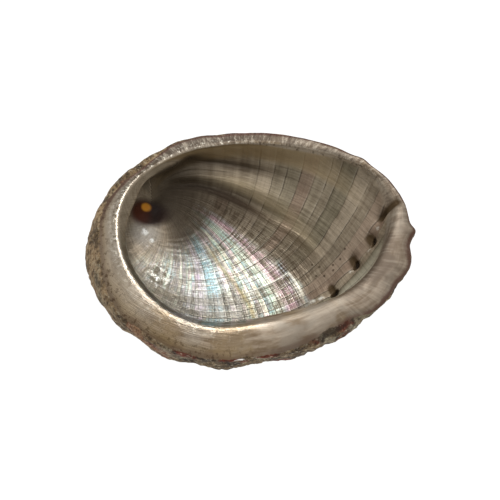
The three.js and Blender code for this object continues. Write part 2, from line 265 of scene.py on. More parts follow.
def growth_place(points):
    """Distance and angle from the apex, and the place among the folds and the cords: the
    angle, between minus 270 and 90 degrees, turned by a share of the logarithm of the
    distance, one way or the other. Far out, the folds bend by the square of the distance."""
    dx, dy = points[..., 0] - APEX[0], points[..., 1] - APEX[1]
    reach = np.maximum(2, np.hypot(dx, dy))
    angle = (np.degrees(np.arctan2(dy, dx)) + 270) % 360 - 270
    spread = np.degrees(np.log(reach / TWIST_RADIUS))
    bend = FOLD_BEND * np.maximum(0, (reach - BEND_START) / BEND_RUN) ** 2
    return reach, angle, angle + FOLD_TWIST * spread + bend, angle - CORD_TWIST * spread


# Breathing holes: azimuth in degrees, ring position inside and outside, and the half
# sizes in millimetres, along the row of holes and across it.
OPEN_PORES = ((6.0, 3.69, 8.6, 2.3, 1.6), (-1.5, 2.96, 9.1, 2.2, 1.5), (-18.0, 2.66, 9.5, 2.4, 1.5))
HEALED_PORES = (-42, -64, -88, -112, -136, -158)
PORE_ROW_POSITION = 9.4
PORE_ROW_RISE = 0.8
PORE_RIM_RADIUS = 3.6
PORE_RIM_LIFT = 1.5
PORE_RIDGE_LIFT = 0.9
FUNNEL_RUN = np.array([-1.0, 3.4])
FUNNEL_WIDTH = 2.3
FUNNEL_DEPTH = 1.3
CREASE = np.array([[56.0, 15.0], [52.8, 7.0], [46.0, -2.4], [36.6, -13.0], [27.0, -20.0]])
CREASE_WIDTH = 1.7
CREASE_DEPTH = 0.7

# Folds of the inner face: place, half width and lift. Then the groove of the hole that
# is only forming, and the finer relief inside.
INNER_FOLDS = ((24, 3.2, 0.5), (17, 2, -0.9), (9, 3.2, 1.3), (2, 2.4, -1.1), (-43, 2.2, -0.35))
FORMING_PORE = np.array([[56.0, 15.0], [62.5, 18.3]])
FORMING_PORE_WIDTH = 2.0
FORMING_PORE_DEPTH = 1.6
GROWTH_LINE_LIFT = 0.12
GROWTH_CORD_LIFT = 0.10
LAST_LAYER_LIFT = 0.35
LIP_RIPPLE_LIFT = 0.14
CREST_LIFT = 0.6
CREST_HOLLOW = 0.4
APEX_PIT_DEPTH = 1.6
APEX_PIT_RADIUS = 6.0

# The back: folds and cords, the spire, lumps (azimuth, ring position, radius and lift)
# and the grain of the crust.
OUTER_FOLD_COUNT = 15
OUTER_FOLD_LIFT = 0.75
CORD_COUNT = 13
OUTER_CORD_LIFT = 0.4
SPIRE_RADIUS = 14.0
SPIRE_LIFT = 2.7
SPIRE_GROWTH_PER_TURN = 3.2
LUMPS = ((262, 8.2, 6, 0.5), (284, 8.4, 5, 0.5), (316, 8.2, 6, 0.4), (232, 8.3, 7, 0.3),
         (205, 8.6, 8, 0.7), (176, 8.9, 6, 1.0), (128, 9.3, 7, 1.0), (96, 9.6, 6, 0.8),
         (58, 9.2, 7, 1.0), (24, 9.5, 6, 0.9), (300, 9.7, 6, 0.9), (214, 9.8, 7, 0.9))
GRAINS_AROUND = 120
COARSE_GRAIN_LIFT = 0.45
FINE_GRAIN_LIFT = 0.3


def one_point(azimuth, position):
    """The point of the smooth wall at one azimuth and ring position."""
    return wall_points(np.array([[float(azimuth)]]), np.array([[float(position)]]))[0, 0]


def distance_to(points, middle):
    """Distance of every point from one middle."""
    return np.linalg.norm(points - middle, axis=-1)


def distance_to_path(points, path):
    """Distance, seen from above, of every point from a line through several corners."""
    nearest = np.inf
    for start, end in zip(path[:-1], path[1:]):
        run = end - start
        share = np.clip((points[..., :2] - start) @ run / (run @ run), 0, 1)
        nearest = np.minimum(nearest, distance_to(points[..., :2], start + share[..., None] * run))
    return nearest


def funnel_distance(points, pore):
    """Distance from the slanting channel that leads into one breathing hole."""
    mouth = one_point(pore[0], pore[1])[:2]
    return distance_to_path(points, np.array([mouth, mouth + FUNNEL_RUN]))


def inner_relief(points, position, azimuth):
    """Lift of the inner face: growth folds, funnels of the holes with the crease that joins
    them, the forming hole's groove, fine growth lines and cords, ripples across the thin
    lip, the edge of the last pearly layer, and the apex pit."""
    reach, _, fold, cord = growth_place(points)
    inside = smooth_step(position, 0.6, 1.6) * (1 - smooth_step(position, 4.4, 5.4))
    fade = inside * smooth_step(reach, 10, 22) * (1 - smooth_step(reach, 76, 92))
    folded = fade * (1 - 0.7 * smooth_step(reach, 56, 76))
    lift = sum(folded * height * bell(fold, middle, width) for middle, width, height in INNER_FOLDS)
    for pore in OPEN_PORES:
        lift = lift - FUNNEL_DEPTH * bell(funnel_distance(points, pore), 0, FUNNEL_WIDTH)
    lift = lift - CREASE_DEPTH * inside * bell(distance_to_path(points, CREASE), 0, CREASE_WIDTH)
    lift = lift - FORMING_PORE_DEPTH * bell(distance_to_path(points, FORMING_PORE), 0, FORMING_PORE_WIDTH)
    lined = smooth_step(reach, 8, 20) * (1 - smooth_step(position, 4.6, 5.4))
    lift = lift + lined * (GROWTH_LINE_LIFT * grain(fold / 2.4, cord / 40, 3)
                           + GROWTH_CORD_LIFT * grain(cord / 4, fold / 30, 7))
    layer = smooth_step(-cord, 48.5, 51) * smooth_step(-fold, 13, 16) * (1 - smooth_step(-fold, 34, 38))
    lift = lift + LAST_LAYER_LIFT * layer * inside
    turned = signed_turn(azimuth)
    thin_lip = smooth_step(turned, 12, 30) * (1 - smooth_step(turned, 105, 130))
    rippled = smooth_step(position, 4.6, 5.8) * (1 - smooth_step(position, 6.9, 7))
    lift = lift + LIP_RIPPLE_LIFT * thin_lip * rippled * grain(azimuth / 1.5, position * 0.7, 11)
    crest = CREST_LIFT * bell(position, 6, 0.32) - CREST_HOLLOW * bell(position, 6.6, 0.35)
    lift = lift + crest * smooth_step(np.abs(turned), 50, 100)
    return lift - APEX_PIT_DEPTH * bell(reach, 0, APEX_PIT_RADIUS)


def outer_relief(points, position, azimuth):
    """Lift of the back: growth folds, cords, a spire of low turns, the ridge with the holes'
    raised rims, crusted lumps, and the rough grain of the crust."""
    reach, angle, fold, cord = growth_place(points)
    away = smooth_step(reach, 14, 34)
    on_back = smooth_step(position, 7.5, 9) * (1 - smooth_step(position, 10.4, 11.4))
    lift = on_back * away * (OUTER_FOLD_LIFT * np.cos(np.radians(fold * OUTER_FOLD_COUNT))
                             + OUTER_CORD_LIFT * np.cos(np.radians(cord * CORD_COUNT)))
    turns = angle / 360 - np.log(reach / 3) / math.log(SPIRE_GROWTH_PER_TURN)
    lift = lift + SPIRE_LIFT * (1 + 0.25 * np.cos(2 * math.pi * turns)) * bell(reach, 0, SPIRE_RADIUS)
    turned = signed_turn(azimuth)
    row = smooth_step(turned, -165, -140) * (1 - smooth_step(turned, 4, 16))
    row_place = PORE_ROW_POSITION - PORE_ROW_RISE * smooth_step(turned, -12, 8)
    lift = lift + PORE_RIDGE_LIFT * row * bell(position, row_place, 0.35)
    mouths = [one_point(pore[0], pore[2]) for pore in OPEN_PORES]
    mouths += [one_point(healed, PORE_ROW_POSITION) for healed in HEALED_PORES]
    for mouth in mouths:
        lift = lift + PORE_RIM_LIFT * bell(distance_to(points, mouth), 0, PORE_RIM_RADIUS)
    for lump, lump_position, radius, height in LUMPS:
        lift = lift + height * bell(distance_to(points, one_point(lump, lump_position)), 0, radius)
    rough = smooth_step(position, 7.0, 7.25) * (1 - smooth_step(position, 10.8, 11.6))
    lattice = azimuth * (GRAINS_AROUND / 360)
    coarse = grain(lattice, position * 2.6, 21)
    fine = grain(lattice * 2.5, position * 6, 22)
    return lift + rough * (COARSE_GRAIN_LIFT * coarse + FINE_GRAIN_LIFT * fine)


# The skin of the shell.
# A grid of nodes on the inner face, over the edge and down the back. Round each breathing
# hole the squares of nodes are drawn into ovals, and a tube joins the inner oval to the
# outer one through the wall.
HOLE_HALF = 3
HOLE_PATCH = 11
TUBE_RINGS = 5
FUNNEL_SHADE_REACH = 1.9

rows = np.concatenate([band + np.arange(steps) / steps for band, steps in enumerate(ROWS_PER_BAND)])
rows = rows[1:]
columns = np.arange(AROUND_STEPS) * 360 / AROUND_STEPS
is_back = rows > EDGE_POSITION


def grid_node(azimuth, position):
    """Row and column of the grid node nearest to a place on the shell."""
    return np.abs(rows - position).argmin(), round(azimuth * AROUND_STEPS / 360) % AROUND_STEPS


def drawn_oval(azimuth, position, half_around, half_down):
    """Shifts, in rows and in columns, that draw the squares of nodes round one node into
    ovals: at the hole's square the nodes stand on the oval of the given half sizes, and
    the shift dies away out to the edge of the patch."""
    row, column = grid_node(azimuth, position)
    down = np.arange(len(rows))[:, None] - row
    across = (np.arange(AROUND_STEPS)[None] - column + AROUND_STEPS // 2) % AROUND_STEPS - AROUND_STEPS // 2
    square = np.maximum(np.abs(down), np.abs(across))
    circle = np.maximum(1, np.hypot(down, across))
    pull = 1 - smooth_step(square, HOLE_HALF, HOLE_PATCH)
    middle = one_point(columns[column], rows[row])
    row_size = distance_to(one_point(columns[column], rows[row + 1]), middle)
    column_size = distance_to(one_point(columns[column] + 360 / AROUND_STEPS, rows[row]), middle)
    share = square / circle / HOLE_HALF
    return (pull * down * (share * half_down / row_size - 1),
            pull * across * (share * half_around / column_size - 1))


row_shift = np.zeros((len(rows), AROUND_STEPS))
column_shift = np.zeros_like(row_shift)
for pore_azimuth, pore_inside, pore_outside, half_around, half_down in OPEN_PORES:
    for pore_position in (pore_inside, pore_outside):
        shifts = drawn_oval(pore_azimuth, pore_position, half_around, half_down)
        row_shift += shifts[0]
        column_shift += shifts[1]
position = np.interp(np.arange(len(rows))[:, None] + row_shift, np.arange(len(rows)), rows)
azimuth = columns[None] + column_shift * 360 / AROUND_STEPS
base = wall_points(azimuth, position)


def outward(points):
    """Unit normals of the grid, from the differences between neighbours, pointing out of
    the material."""
    around = np.roll(points, -1, axis=1) - np.roll(points, 1, axis=1)
    down = np.gradient(points, axis=0)
    normal = np.cross(down, around)
    return normal / np.maximum(1e-9, np.linalg.norm(normal, axis=-1, keepdims=True))


lift = np.where(is_back[:, None], outer_relief(base, position, azimuth),
                inner_relief(base, position, azimuth))
shell = base + outward(base) * lift[..., None]
shell[..., 2] = np.where(is_back[:, None], np.maximum(shell[..., 2], REST_CUT_HEIGHT), shell[..., 2])
# Painted shade: brown darkening in the slanting funnels of the holes and in the forming hole's groove.
funnel_shade = sum(bell(funnel_distance(base, pore), 0, FUNNEL_SHADE_REACH) for pore in OPEN_PORES)
funnel_shade = funnel_shade + bell(distance_to_path(base, FORMING_PORE), 0, FUNNEL_SHADE_REACH)
funnel_shade = np.where(is_back[:, None], 0, funnel_shade)
reach, _, fold, cord = growth_place(base)
ring_place = np.broadcast_to(position, fold.shape)
turn = np.radians(azimuth)
# Columns: point, fold, cord, reach, cosine and sine of the azimuth, ring position, and funnel shade, the
# painted shade in the holes' funnels.
record = np.concatenate([shell, np.stack([fold, cord, reach, np.cos(turn), np.sin(turn),
                                          ring_place, funnel_shade], axis=-1)], axis=-1)

index = np.arange(len(rows) * AROUND_STEPS).reshape(len(rows), AROUND_STEPS)
right = np.roll(index, -1, axis=1)
cells = np.stack([index[:-1], index[1:], right[1:], right[:-1]], axis=-1)
kept = np.ones(cells.shape[:2], bool)
side = np.arange(-HOLE_HALF, HOLE_HALF)
end = np.full(2 * HOLE_HALF, HOLE_HALF)
down_round = np.concatenate([-end, side, end, -side])
across_round = np.concatenate([side, end, -side, -end])
records = [record.reshape(-1, record.shape[-1])]
tube_quads = []
count = len(records[0])
for pore_azimuth, pore_inside, pore_outside, half_around, half_down in OPEN_PORES:
    row_in, column_in = grid_node(pore_azimuth, pore_inside)
    row_out, column_out = grid_node(pore_azimuth, pore_outside)
    for row, column in ((row_in, column_in), (row_out, column_out)):
        gone = (np.arange(column - HOLE_HALF, column + HOLE_HALF)) % AROUND_STEPS
        kept[row - HOLE_HALF:row + HOLE_HALF, gone] = False
    inner = index[row_in + down_round, (column_in + across_round) % AROUND_STEPS]
    outer = index[row_out - down_round, (column_out + across_round) % AROUND_STEPS]
    share = np.linspace(0, 1, TUBE_RINGS + 2)[1:-1, None, None]
    ends = records[0][inner], records[0][outer]
    between = np.repeat(ends[0][None], TUBE_RINGS, axis=0)
    between[..., :3] = (1 - share) * ends[0][:, :3] + share * ends[1][:, :3]
    # Inside the tubes the painted funnel shade is full.
    between[..., -1] = 1
    records.append(between.reshape(-1, record.shape[-1]))
    rings = [inner, *(count + np.arange(TUBE_RINGS * len(inner)).reshape(TUBE_RINGS, -1)), outer]
    count += TUBE_RINGS * len(inner)
    for near, far in zip(rings[:-1], rings[1:]):
        tube_quads.append(np.stack([np.roll(near, -1), near, far, np.roll(far, -1)], axis=-1))

middles = np.zeros((2, record.shape[-1]))
middles[:, :3] = (0, 0, BOWL_MIDDLE_HEIGHT), (0, 0, REST_CUT_HEIGHT)
middles[:, 3:6] = records[0][0, 3:6]
middles[:, 6:9] = (1, 0, 0), (1, 0, len(RINGS) + 1)
records = np.concatenate([*records, middles])
first = np.stack([np.full(AROUND_STEPS, count), index[0], right[0]], axis=-1)
last = np.stack([np.full(AROUND_STEPS, count + 1), right[-1], index[-1]], axis=-1)
quads = np.concatenate([cells[kept], *tube_quads])
used, renamed = np.unique(np.concatenate([quads.ravel(), first.ravel(), last.ravel()]),
                          return_inverse=True)
records = records[used]
quads = renamed[:quads.size].reshape(-1, 4)
end_triangles = renamed[quads.size:].reshape(-1, 3)
vertices = (records[:, :3] - [OUTLINE_MIDDLE[0], OUTLINE_MIDDLE[1], REST_CUT_HEIGHT]) * MM

shell_mesh = bpy.data.meshes.new("abalone_shell_grown")
shell_mesh.from_pydata(vertices.tolist(), [], quads.tolist() + end_triangles.tolist())
shell_mesh.polygons.foreach_set("use_smooth", [True] * len(shell_mesh.polygons))
for name, values in (("growth", records[:, 3:6]), ("rim", records[:, 6:9])):
    layer = shell_mesh.attributes.new(name, "FLOAT_VECTOR", "POINT")
    layer.data.foreach_set("vector", values.astype(np.float32).ravel())
layer = shell_mesh.attributes.new("funnel_shade", "FLOAT", "POINT")
layer.data.foreach_set("value", records[:, 9].astype(np.float32))
shell_piece = bpy.data.objects.new("shell_skin", shell_mesh)
bpy.context.scene.collection.objects.link(shell_piece)


# Nacre and crust.
# Inside, thin layers of mother-of-pearl: grey to cream, with bands of pink, green and
# blue between the growth lines. Outside, a chalky crust, red-brown with pale lime growth.
class Signal:
    """A node socket that can be reckoned with. Sums, differences and products add Math
    nodes, and node() adds any other node of the same tree."""

    def __init__(self, tree, socket):
        self.tree = tree
        self.socket = socket

    def node(self, kind, settings, values, output=0):
        """A new node: first its settings, then its inputs, linked or given as values."""
        made = self.tree.nodes.new(kind)
        for name, setting in settings.items():
            setattr(made, name, setting)
        for name, value in values.items():
            if isinstance(value, Signal):
                self.tree.links.new(value.socket, made.inputs[name])
            else:
                made.inputs[name].default_value = value
        return Signal(self.tree, made.outputs[output])

    def math(self, operation, *values):
        """One Math node on the given values."""
        return self.node("ShaderNodeMath", {"operation": operation}, dict(enumerate(values)))

    def __add__(self, other):
        return self.math("ADD", self, other)

    def __sub__(self, other):
        return self.math("SUBTRACT", self, other)

    def __rsub__(self, other):
        return self.math("SUBTRACT", other, self)

    def __mul__(self, other):
        return self.math("MULTIPLY", self, other)

    def __neg__(self):
        return self * -1.0

    __radd__ = __add__
    __rmul__ = __mul__

    def either(self, other):
        """The larger of the two."""
        return self.math("MAXIMUM", self, other)

    def step(self, start, stop):
        """Zero below start, one above stop, and a smooth S between them."""
        return self.node("ShaderNodeMapRange", {"interpolation_type": "SMOOTHSTEP"},
                         {"Value": self, "From Min": start, "From Max": stop})

    def bell(self, middle, half_width):
        """A bump of height one round a middle."""
        away = (self - middle) * (1.0 / half_width)
        return self.math("EXPONENT", -(away * away))

    def mix(self, low, high):
        """A colour between two others, by this share."""
        return self.node("ShaderNodeMix", {"data_type": "RGBA"}, {0: self, 6: low, 7: high}, 2)

    def part(self, number):
        """One component of a vector."""
        return self.node("ShaderNodeSeparateXYZ", {}, {0: self}, number)

    def vector(self, x, y, z):
        """A vector of three values."""
        return self.node("ShaderNodeCombineXYZ", {}, {0: x, 1: y, 2: z})

    def lines(self, scale):
        """Thin lines of one where irregular steps along this value meet, else zero."""
        gap = self.node("ShaderNodeTexVoronoi",
                        {"voronoi_dimensions": "1D", "feature": "DISTANCE_TO_EDGE"},
                        {"W": self, "Scale": scale})
        return gap.step(0.09, 0.0)

    def shades(self, scale, number):
        """One of three random values that each of the same irregular steps has."""
        return self.node("ShaderNodeTexVoronoi", {"voronoi_dimensions": "1D"},
                         {"W": self, "Scale": scale}, 1).part(number)

    def noise(self, scale, detail=2.0, roughness=0.5):
        """Smooth random values round a half, read at this vector."""
        return self.node("ShaderNodeTexNoise", {},
                         {"Vector": self, "Scale": scale, "Detail": detail, "Roughness": roughness})


def paint(red, green, blue):
    """A colour given in the bytes a screen would show, as the light it stands for."""
    shares = [value / 255 for value in (red, green, blue)]
    return (*(s / 12.92 if s <= 0.04045 else ((s + 0.055) / 1.055) ** 2.4 for s in shares), 1.0)


nacre = bpy.data.materials.new("nacre")
nacre.use_nodes = True
shell_mesh.materials.append(nacre)
shader = nacre.node_tree.nodes["Principled BSDF"]
# From this first signal, new nodes are added to the tree.
start = Signal(nacre.node_tree, shader.inputs["Base Color"])


def attribute(name, output):
    """A value that the mesh keeps at every vertex."""
    return start.node("ShaderNodeAttribute", {"attribute_name": name}, {}, output)


growth = attribute("growth", 1)
fold_at, cord_at, reach_at = (growth.part(k) for k in range(3))
rim = attribute("rim", 1)
cosine, sine, ring = (rim.part(k) for k in range(3))
funnel_shaded = attribute("funnel_shade", 2)
place = start.node("ShaderNodeTexCoord", {}, {}, 3)

# The inner face, and the random patterns that follow its folds and cords. Places among
# the folds and cords are in degrees, and distances from the apex in millimetres. A cord
# is also told by the distance at which it crosses angle zero.
FOLD_LINE_SCALE = 0.36
CORD_LINE_SCALE = 0.15
FINE_FOLD_LINE_SCALE = 1.0
FINE_CORD_LINE_SCALE = 0.5

inside = 1.0 - ring.step(4.5, 5.3)
angle_at = (fold_at * CORD_TWIST + cord_at * FOLD_TWIST) * (1 / (CORD_TWIST + FOLD_TWIST))
cord_reach = start.math("EXPONENT", cord_at * (-1 / (CORD_TWIST * 180 / math.pi))) * TWIST_RADIUS
blotches = place.noise(90.0, 4.0, 0.6)
wobble = place.noise(140.0, 2.0, 0.5) - 0.5
fold_way = fold_at + wobble * 0.9
cord_way = cord_reach + wobble * 1.1
fold_lined = reach_at.step(8.0, 18.0) * inside
cord_lined = (reach_at - fold_at.step(-4.0, 12.0) * 16.0).step(24.0, 38.0) * inside
growth_streaks = start.vector(fold_at, cord_reach * 0.04, 0.0).noise(0.5, 3.0, 0.6)
fine_streaks = start.vector(fold_at, cord_reach * 0.12, 5.0).noise(1.5, 2.0, 0.5)
rib_streaks = start.vector(cord_reach, fold_at * 0.05, 3.0).noise(0.35, 3.0, 0.55)
ripples = start.vector(cord_reach, fold_at * 0.12, 11.0).noise(0.8, 3.0, 0.6)
fold_tone = fold_way.shades(FOLD_LINE_SCALE, 0)
cord_tone = cord_way.shades(CORD_LINE_SCALE, 0)
cord_tint = cord_way.shades(CORD_LINE_SCALE, 1)

# The brown pearly wall above the bowl's floor.
BROWN_PEARL = paint(108, 92, 72)
CREAM_PEARL = paint(192, 176, 152)
PINK_PEARL = paint(168, 140, 122)
GREEN_PEARL = paint(140, 138, 114)
DULL_PEARL = paint(112, 102, 84)

tone = 0.5 + (cord_tone - 0.5) * 0.45 * cord_lined + (growth_streaks - 0.5) * 0.9
tone = tone + (rib_streaks - 0.5) * 0.8 + (fine_streaks - 0.5) * 0.5
pearl = tone.step(0.0, 1.0).mix(BROWN_PEARL, CREAM_PEARL)
pearl = (cord_tint.step(0.55, 0.8) * 0.45 * cord_lined).mix(pearl, PINK_PEARL)
pearl = (cord_tint.step(0.4, 0.15) * 0.35 * cord_lined).mix(pearl, GREEN_PEARL)
pearl = (blotches.step(0.45, 0.75) * 0.3).mix(pearl, DULL_PEARL)

# The floor's play of colour, from the apex out between two growth lines: patches where the hue passes from
# one pair of limits to the next, then bands along the folds, each with its place, half width and share. Its
# pale hues are partly the nacre's own and partly painted light for the window's reflection in the bowl.
ROSE = paint(226, 200, 204)
IVORY = paint(232, 224, 204)
PATCH_HUES = ((0.40, 0.47, paint(206, 222, 200)), (0.48, 0.55, paint(178, 210, 212)),
              (0.57, 0.64, paint(206, 196, 208)), (0.66, 0.74, paint(230, 222, 200)))
BAND_HUES = ((-20.5, 4.0, 0.85, paint(234, 176, 194)), (-27.0, 3.0, 0.6, paint(196, 224, 202)),
             (-55.0, 6.0, 0.8, paint(126, 196, 214)), (-64.0, 3.0, 0.5, paint(190, 176, 214)))
LILAC = paint(190, 184, 214)
SHADED_PEARL = paint(98, 92, 76)
RIPPLE_HIGHLIGHT = paint(248, 246, 238)

# The lower floor, towards the near wall: painted shade darkens it, and a lilac band lies there.
lower = cord_at.step(-34.0, -54.0) * fold_at.step(-32.0, -44.0)
patches = start.vector(fold_at * 0.3, cord_reach * 0.08, 7.0)
hue = patches.noise(0.7, 2.0, 0.55) * 0.75 + fold_tone * 0.35 - 0.05
rainbow = hue.step(0.28, 0.38).mix(ROSE, IVORY)
for lower_hue, upper_hue, patch_colour in PATCH_HUES:
    rainbow = hue.step(lower_hue, upper_hue).mix(rainbow, patch_colour)
for middle, half_width, share, band_colour in BAND_HUES:
    rainbow = (fold_at.bell(middle, half_width) * share).mix(rainbow, band_colour)
rainbow = (fold_at.bell(-72.0, 5.0) * lower * 0.6).mix(rainbow, LILAC)
# Darker tone at random along folds, cords and streaks, with painted shade on the lower floor and in the
# ripples' troughs.
shaded = fold_tone.step(0.45, 0.9) * 0.4 + cord_tone.step(0.45, 0.85) * 0.35
shaded = shaded + growth_streaks.step(0.48, 0.64) * 0.4 + blotches.step(0.5, 0.7) * 0.3
shaded = shaded + lower * 0.45 + ripples.step(0.5, 0.38) * 0.4
rainbow = shaded.math("MINIMUM", shaded, 0.95).mix(rainbow, SHADED_PEARL)
# Painted highlights on the crests of the fine ripples.
rainbow = (ripples.step(0.54, 0.68) * 0.45).mix(rainbow, RIPPLE_HIGHLIGHT)
fan_edge = fold_way + (blotches - 0.5) * 6.0 - reach_at.step(40.0, 70.0) * 3.0
fan = fan_edge.step(-14.5, -18.5) * fold_at.step(-150.0, -80.0)
fan = fan * reach_at.step(13.0, 27.0) * reach_at.step(92.0, 70.0)
# The fan of colour: pale partly as painted light, for the window's reflection.
colour = (fan * 0.9).mix(pearl, rainbow)

# Growth lines and cords: dark furrows, some with a painted highlight along one side. Above the play of
# colour lies a brown zone of painted shade, and past the holes a paler strip.
BROWN_ZONE_SHADE = paint(72, 56, 38)
PALE_STRIP = paint(204, 198, 176)
DARK_LINE = paint(58, 48, 34)
FURROW_SIDE_HIGHLIGHT = paint(238, 230, 210)
LOWER_FLOOR_SHADE = paint(98, 94, 84)
BROWN_FLOOR = paint(110, 98, 78)

broken = start.vector(fold_at * 0.11, cord_reach * 0.3, 2.0).noise(1.0, 3.0, 0.55).step(0.42, 0.56)
fold_line = fold_way.lines(FOLD_LINE_SCALE) * 0.65 + fold_way.lines(FINE_FOLD_LINE_SCALE) * 0.2
cord_line = cord_way.lines(CORD_LINE_SCALE) * (0.4 + broken * 0.6 - fold_at.step(0.0, 14.0) * 0.25)
cord_line = cord_line + cord_way.lines(FINE_CORD_LINE_SCALE) * (1.0 - broken) * 0.2
# Painted shade: a brown band between the play of colour and the dark furrow, in the shade of the fold
# above.
brown_shade_zone = fold_way.step(-19.0, -15.0) * fold_at.step(-1.0, -8.0)
brown_shade_zone = brown_shade_zone * reach_at.step(18.0, 30.0) * reach_at.step(86.0, 66.0) * inside
zone_shading = 0.25 + growth_streaks.step(0.42, 0.6) * 0.3 + ripples.step(0.55, 0.42) * 0.35
colour = (brown_shade_zone * zone_shading).mix(colour, BROWN_ZONE_SHADE)
beyond_holes = cord_at.step(-79.0, -84.0) * fold_at.step(-14.0, 0.0) * inside
colour = (beyond_holes * 0.85).mix(colour, PALE_STRIP)
near_or_fan = fan.either(reach_at.step(48.0, 24.0))
dark_lines = fold_line * fold_lined * (0.35 + near_or_fan * 0.65) + cord_line * cord_lined
colour = (dark_lines * 0.85).mix(colour, DARK_LINE)
# Painted highlight along one side of the cord and fold furrows.
cord_side_highlight = (cord_way + 0.5).lines(CORD_LINE_SCALE) * cord_lined * (0.15 + fan * 0.6) * broken
fold_side_highlight = (fold_way + 0.35).lines(FOLD_LINE_SCALE) * fold_lined * fan * 0.35
colour = ((cord_side_highlight + fold_side_highlight) * 0.8).mix(colour, FURROW_SIDE_HIGHLIGHT)
# Painted shade on the lower floor.
colour = (lower * inside * 0.45).mix(colour, LOWER_FLOOR_SHADE)
brown_end = cord_at.step(-24.0, -44.0) * fold_at.step(-66.0, -84.0) * blotches.step(0.38, 0.55)
colour = (brown_end * inside * 0.5).mix(colour, BROWN_FLOOR)

# The folds of the far wall: a tan face under the lip, tan of its own and darker near the apex as painted
# shade; a light band with a painted highlight where the fold faces the window; and painted shade in the
# dark furrow and the groove above it. On the floor, one strong olive growth line and a painted highlight on
# the raised edge of the last pearly layer.
SHADED_NEAR_TAN = paint(150, 126, 88)
FAR_TAN = paint(182, 160, 124)
BAND_HIGHLIGHT = paint(206, 186, 150)
NEAR_FURROW_SHADE = paint(58, 44, 28)
FAR_FURROW_SHADE = paint(80, 64, 42)
OLIVE_LINE = paint(122, 108, 68)
LAYER_EDGE_HIGHLIGHT = paint(240, 236, 222)

sag = reach_at.step(54.0, 88.0) * 8.0
above_band = fold_at - 14.0 - reach_at.step(12.0, 50.0) * 7.0
tan_width = 60.0 - reach_at.step(36.0, 66.0) * 54.0
tan_face = above_band.step(-1.0, 1.5) * (tan_width - above_band).step(-1.5, 1.5)
tan_face = tan_face * (1.0 - ring.step(5.75, 5.9)) * reach_at.step(98.0, 70.0) * angle_at.step(89.0, 60.0)
# The tan face, darker near the apex as painted shade.
colour = (tan_face * 0.75).mix(colour, reach_at.step(50.0, 72.0).mix(SHADED_NEAR_TAN, FAR_TAN))
# Painted highlight on the fold's slope that faces the window.
band_highlight = (fold_at + sag + reach_at.step(38.0, 58.0) * 2.2).bell(7.9, 3.8)
band_highlight = band_highlight * reach_at.step(20.0, 42.0) * reach_at.step(82.0, 60.0)
colour = (band_highlight * inside * 0.6).mix(colour, BAND_HIGHLIGHT)
# Painted shade in the dark furrow and the groove above it, darker near the apex.
furrow_way = fold_at + sag * 0.35
furrow = furrow_way.bell(-0.6, 3.2) * (0.65 + reach_at.step(58.0, 34.0) * 0.35)
furrow = (furrow + furrow_way.bell(-6.0, 7.0) * 0.25) * reach_at.step(92.0, 64.0)
upper_groove = fold_at.bell(17.2, 1.8) * (0.2 + reach_at.step(66.0, 44.0) * 0.65)
groove_shade = upper_groove * reach_at.step(90.0, 70.0) + furrow
groove_shade = groove_shade.math("MINIMUM", groove_shade, 1.0) * inside * reach_at.step(6.0, 16.0)
colour = groove_shade.mix(colour, reach_at.step(60.0, 36.0).mix(FAR_FURROW_SHADE, NEAR_FURROW_SHADE))
off_line = fold_at - reach_at.step(28.0, 64.0) * 8.0 + 46.0
strong_line = (off_line * reach_at).bell(0.0, 72.0) * reach_at.step(24.0, 34.0)
colour = (strong_line * inside * 0.85).mix(colour, OLIVE_LINE)
# Painted highlight along the raised edge of the last pearly layer.
layer_end = cord_at.bell(-49.5, 0.6) * fold_at.step(-14.0, -16.0) * fold_at.step(-40.0, -34.0)
layer_side = fold_at.bell(-14.6, 0.45) * cord_at.step(-48.5, -50.0) * cord_at.step(-68.0, -64.0)
layer_edge_highlight = (layer_end + layer_side) * inside * blotches.step(0.35, 0.55)
colour = (layer_edge_highlight * 0.75).mix(colour, LAYER_EDGE_HIGHLIGHT)

# The lip: grey and pink on the broad inner lip, brown and finely ribbed on the thin one.
BROWN_LIP = paint(116, 97, 74)
PALE_LIP = paint(174, 158, 138)
GREY_STREAK = paint(128, 122, 110)
GREY_CLOUD = paint(152, 142, 128)
TAN_CLOUD = paint(142, 120, 86)
BROWN_CLOUD = paint(116, 98, 78)
APEX_LIP = paint(192, 182, 166)
NEAR_MARGIN = paint(92, 76, 58)
MARGIN = paint(138, 116, 82)
MARGIN_SPECK = paint(84, 66, 44)
FAR_LIP_SHADE = paint(92, 80, 68)
FAR_LIP_INNER_LIGHT = paint(196, 180, 158)
FRONT_SHADE = paint(98, 84, 70)
RIB_CREST = paint(182, 170, 152)
RIB_FURROW = paint(84, 70, 56)
BEAD_SPARKLE = paint(240, 232, 214)
DARK_BEAD = paint(96, 80, 58)
EDGE_BROWN = paint(80, 52, 40)

streak = start.vector(cosine * 3.0, sine * 3.0, ring * 5.0).noise(1.0, 4.0, 0.6)
broad_streak = start.vector(cosine * 4.0, sine * 4.0, ring * 2.5 + 9.0).noise(1.0, 3.0, 0.55)
ribs = start.vector(cosine * 38.0, sine * 38.0, ring * 1.2).noise(1.0, 3.0, 0.6)
clouds = place.noise(55.0, 3.0, 0.55)
specks = place.noise(600.0, 3.0, 0.7)
thin_side = sine.step(-0.2, 0.5).either(cosine.step(0.55, 0.85))
far_lip = sine.step(0.0, 0.7)
far_right = cosine.step(0.0, 0.6)
lip_colour = streak.step(0.34, 0.66).mix(BROWN_LIP, PALE_LIP)
lip_colour = (broad_streak.step(0.45, 0.7) * 0.5).mix(lip_colour, GREY_STREAK)
lip_colour = (clouds.step(0.48, 0.6) * 0.55).mix(lip_colour, GREY_CLOUD)
lip_colour = (clouds.step(0.46, 0.36) * 0.55).mix(lip_colour, TAN_CLOUD)
lip_colour = (blotches.step(0.52, 0.66) * 0.4).mix(lip_colour, BROWN_CLOUD)
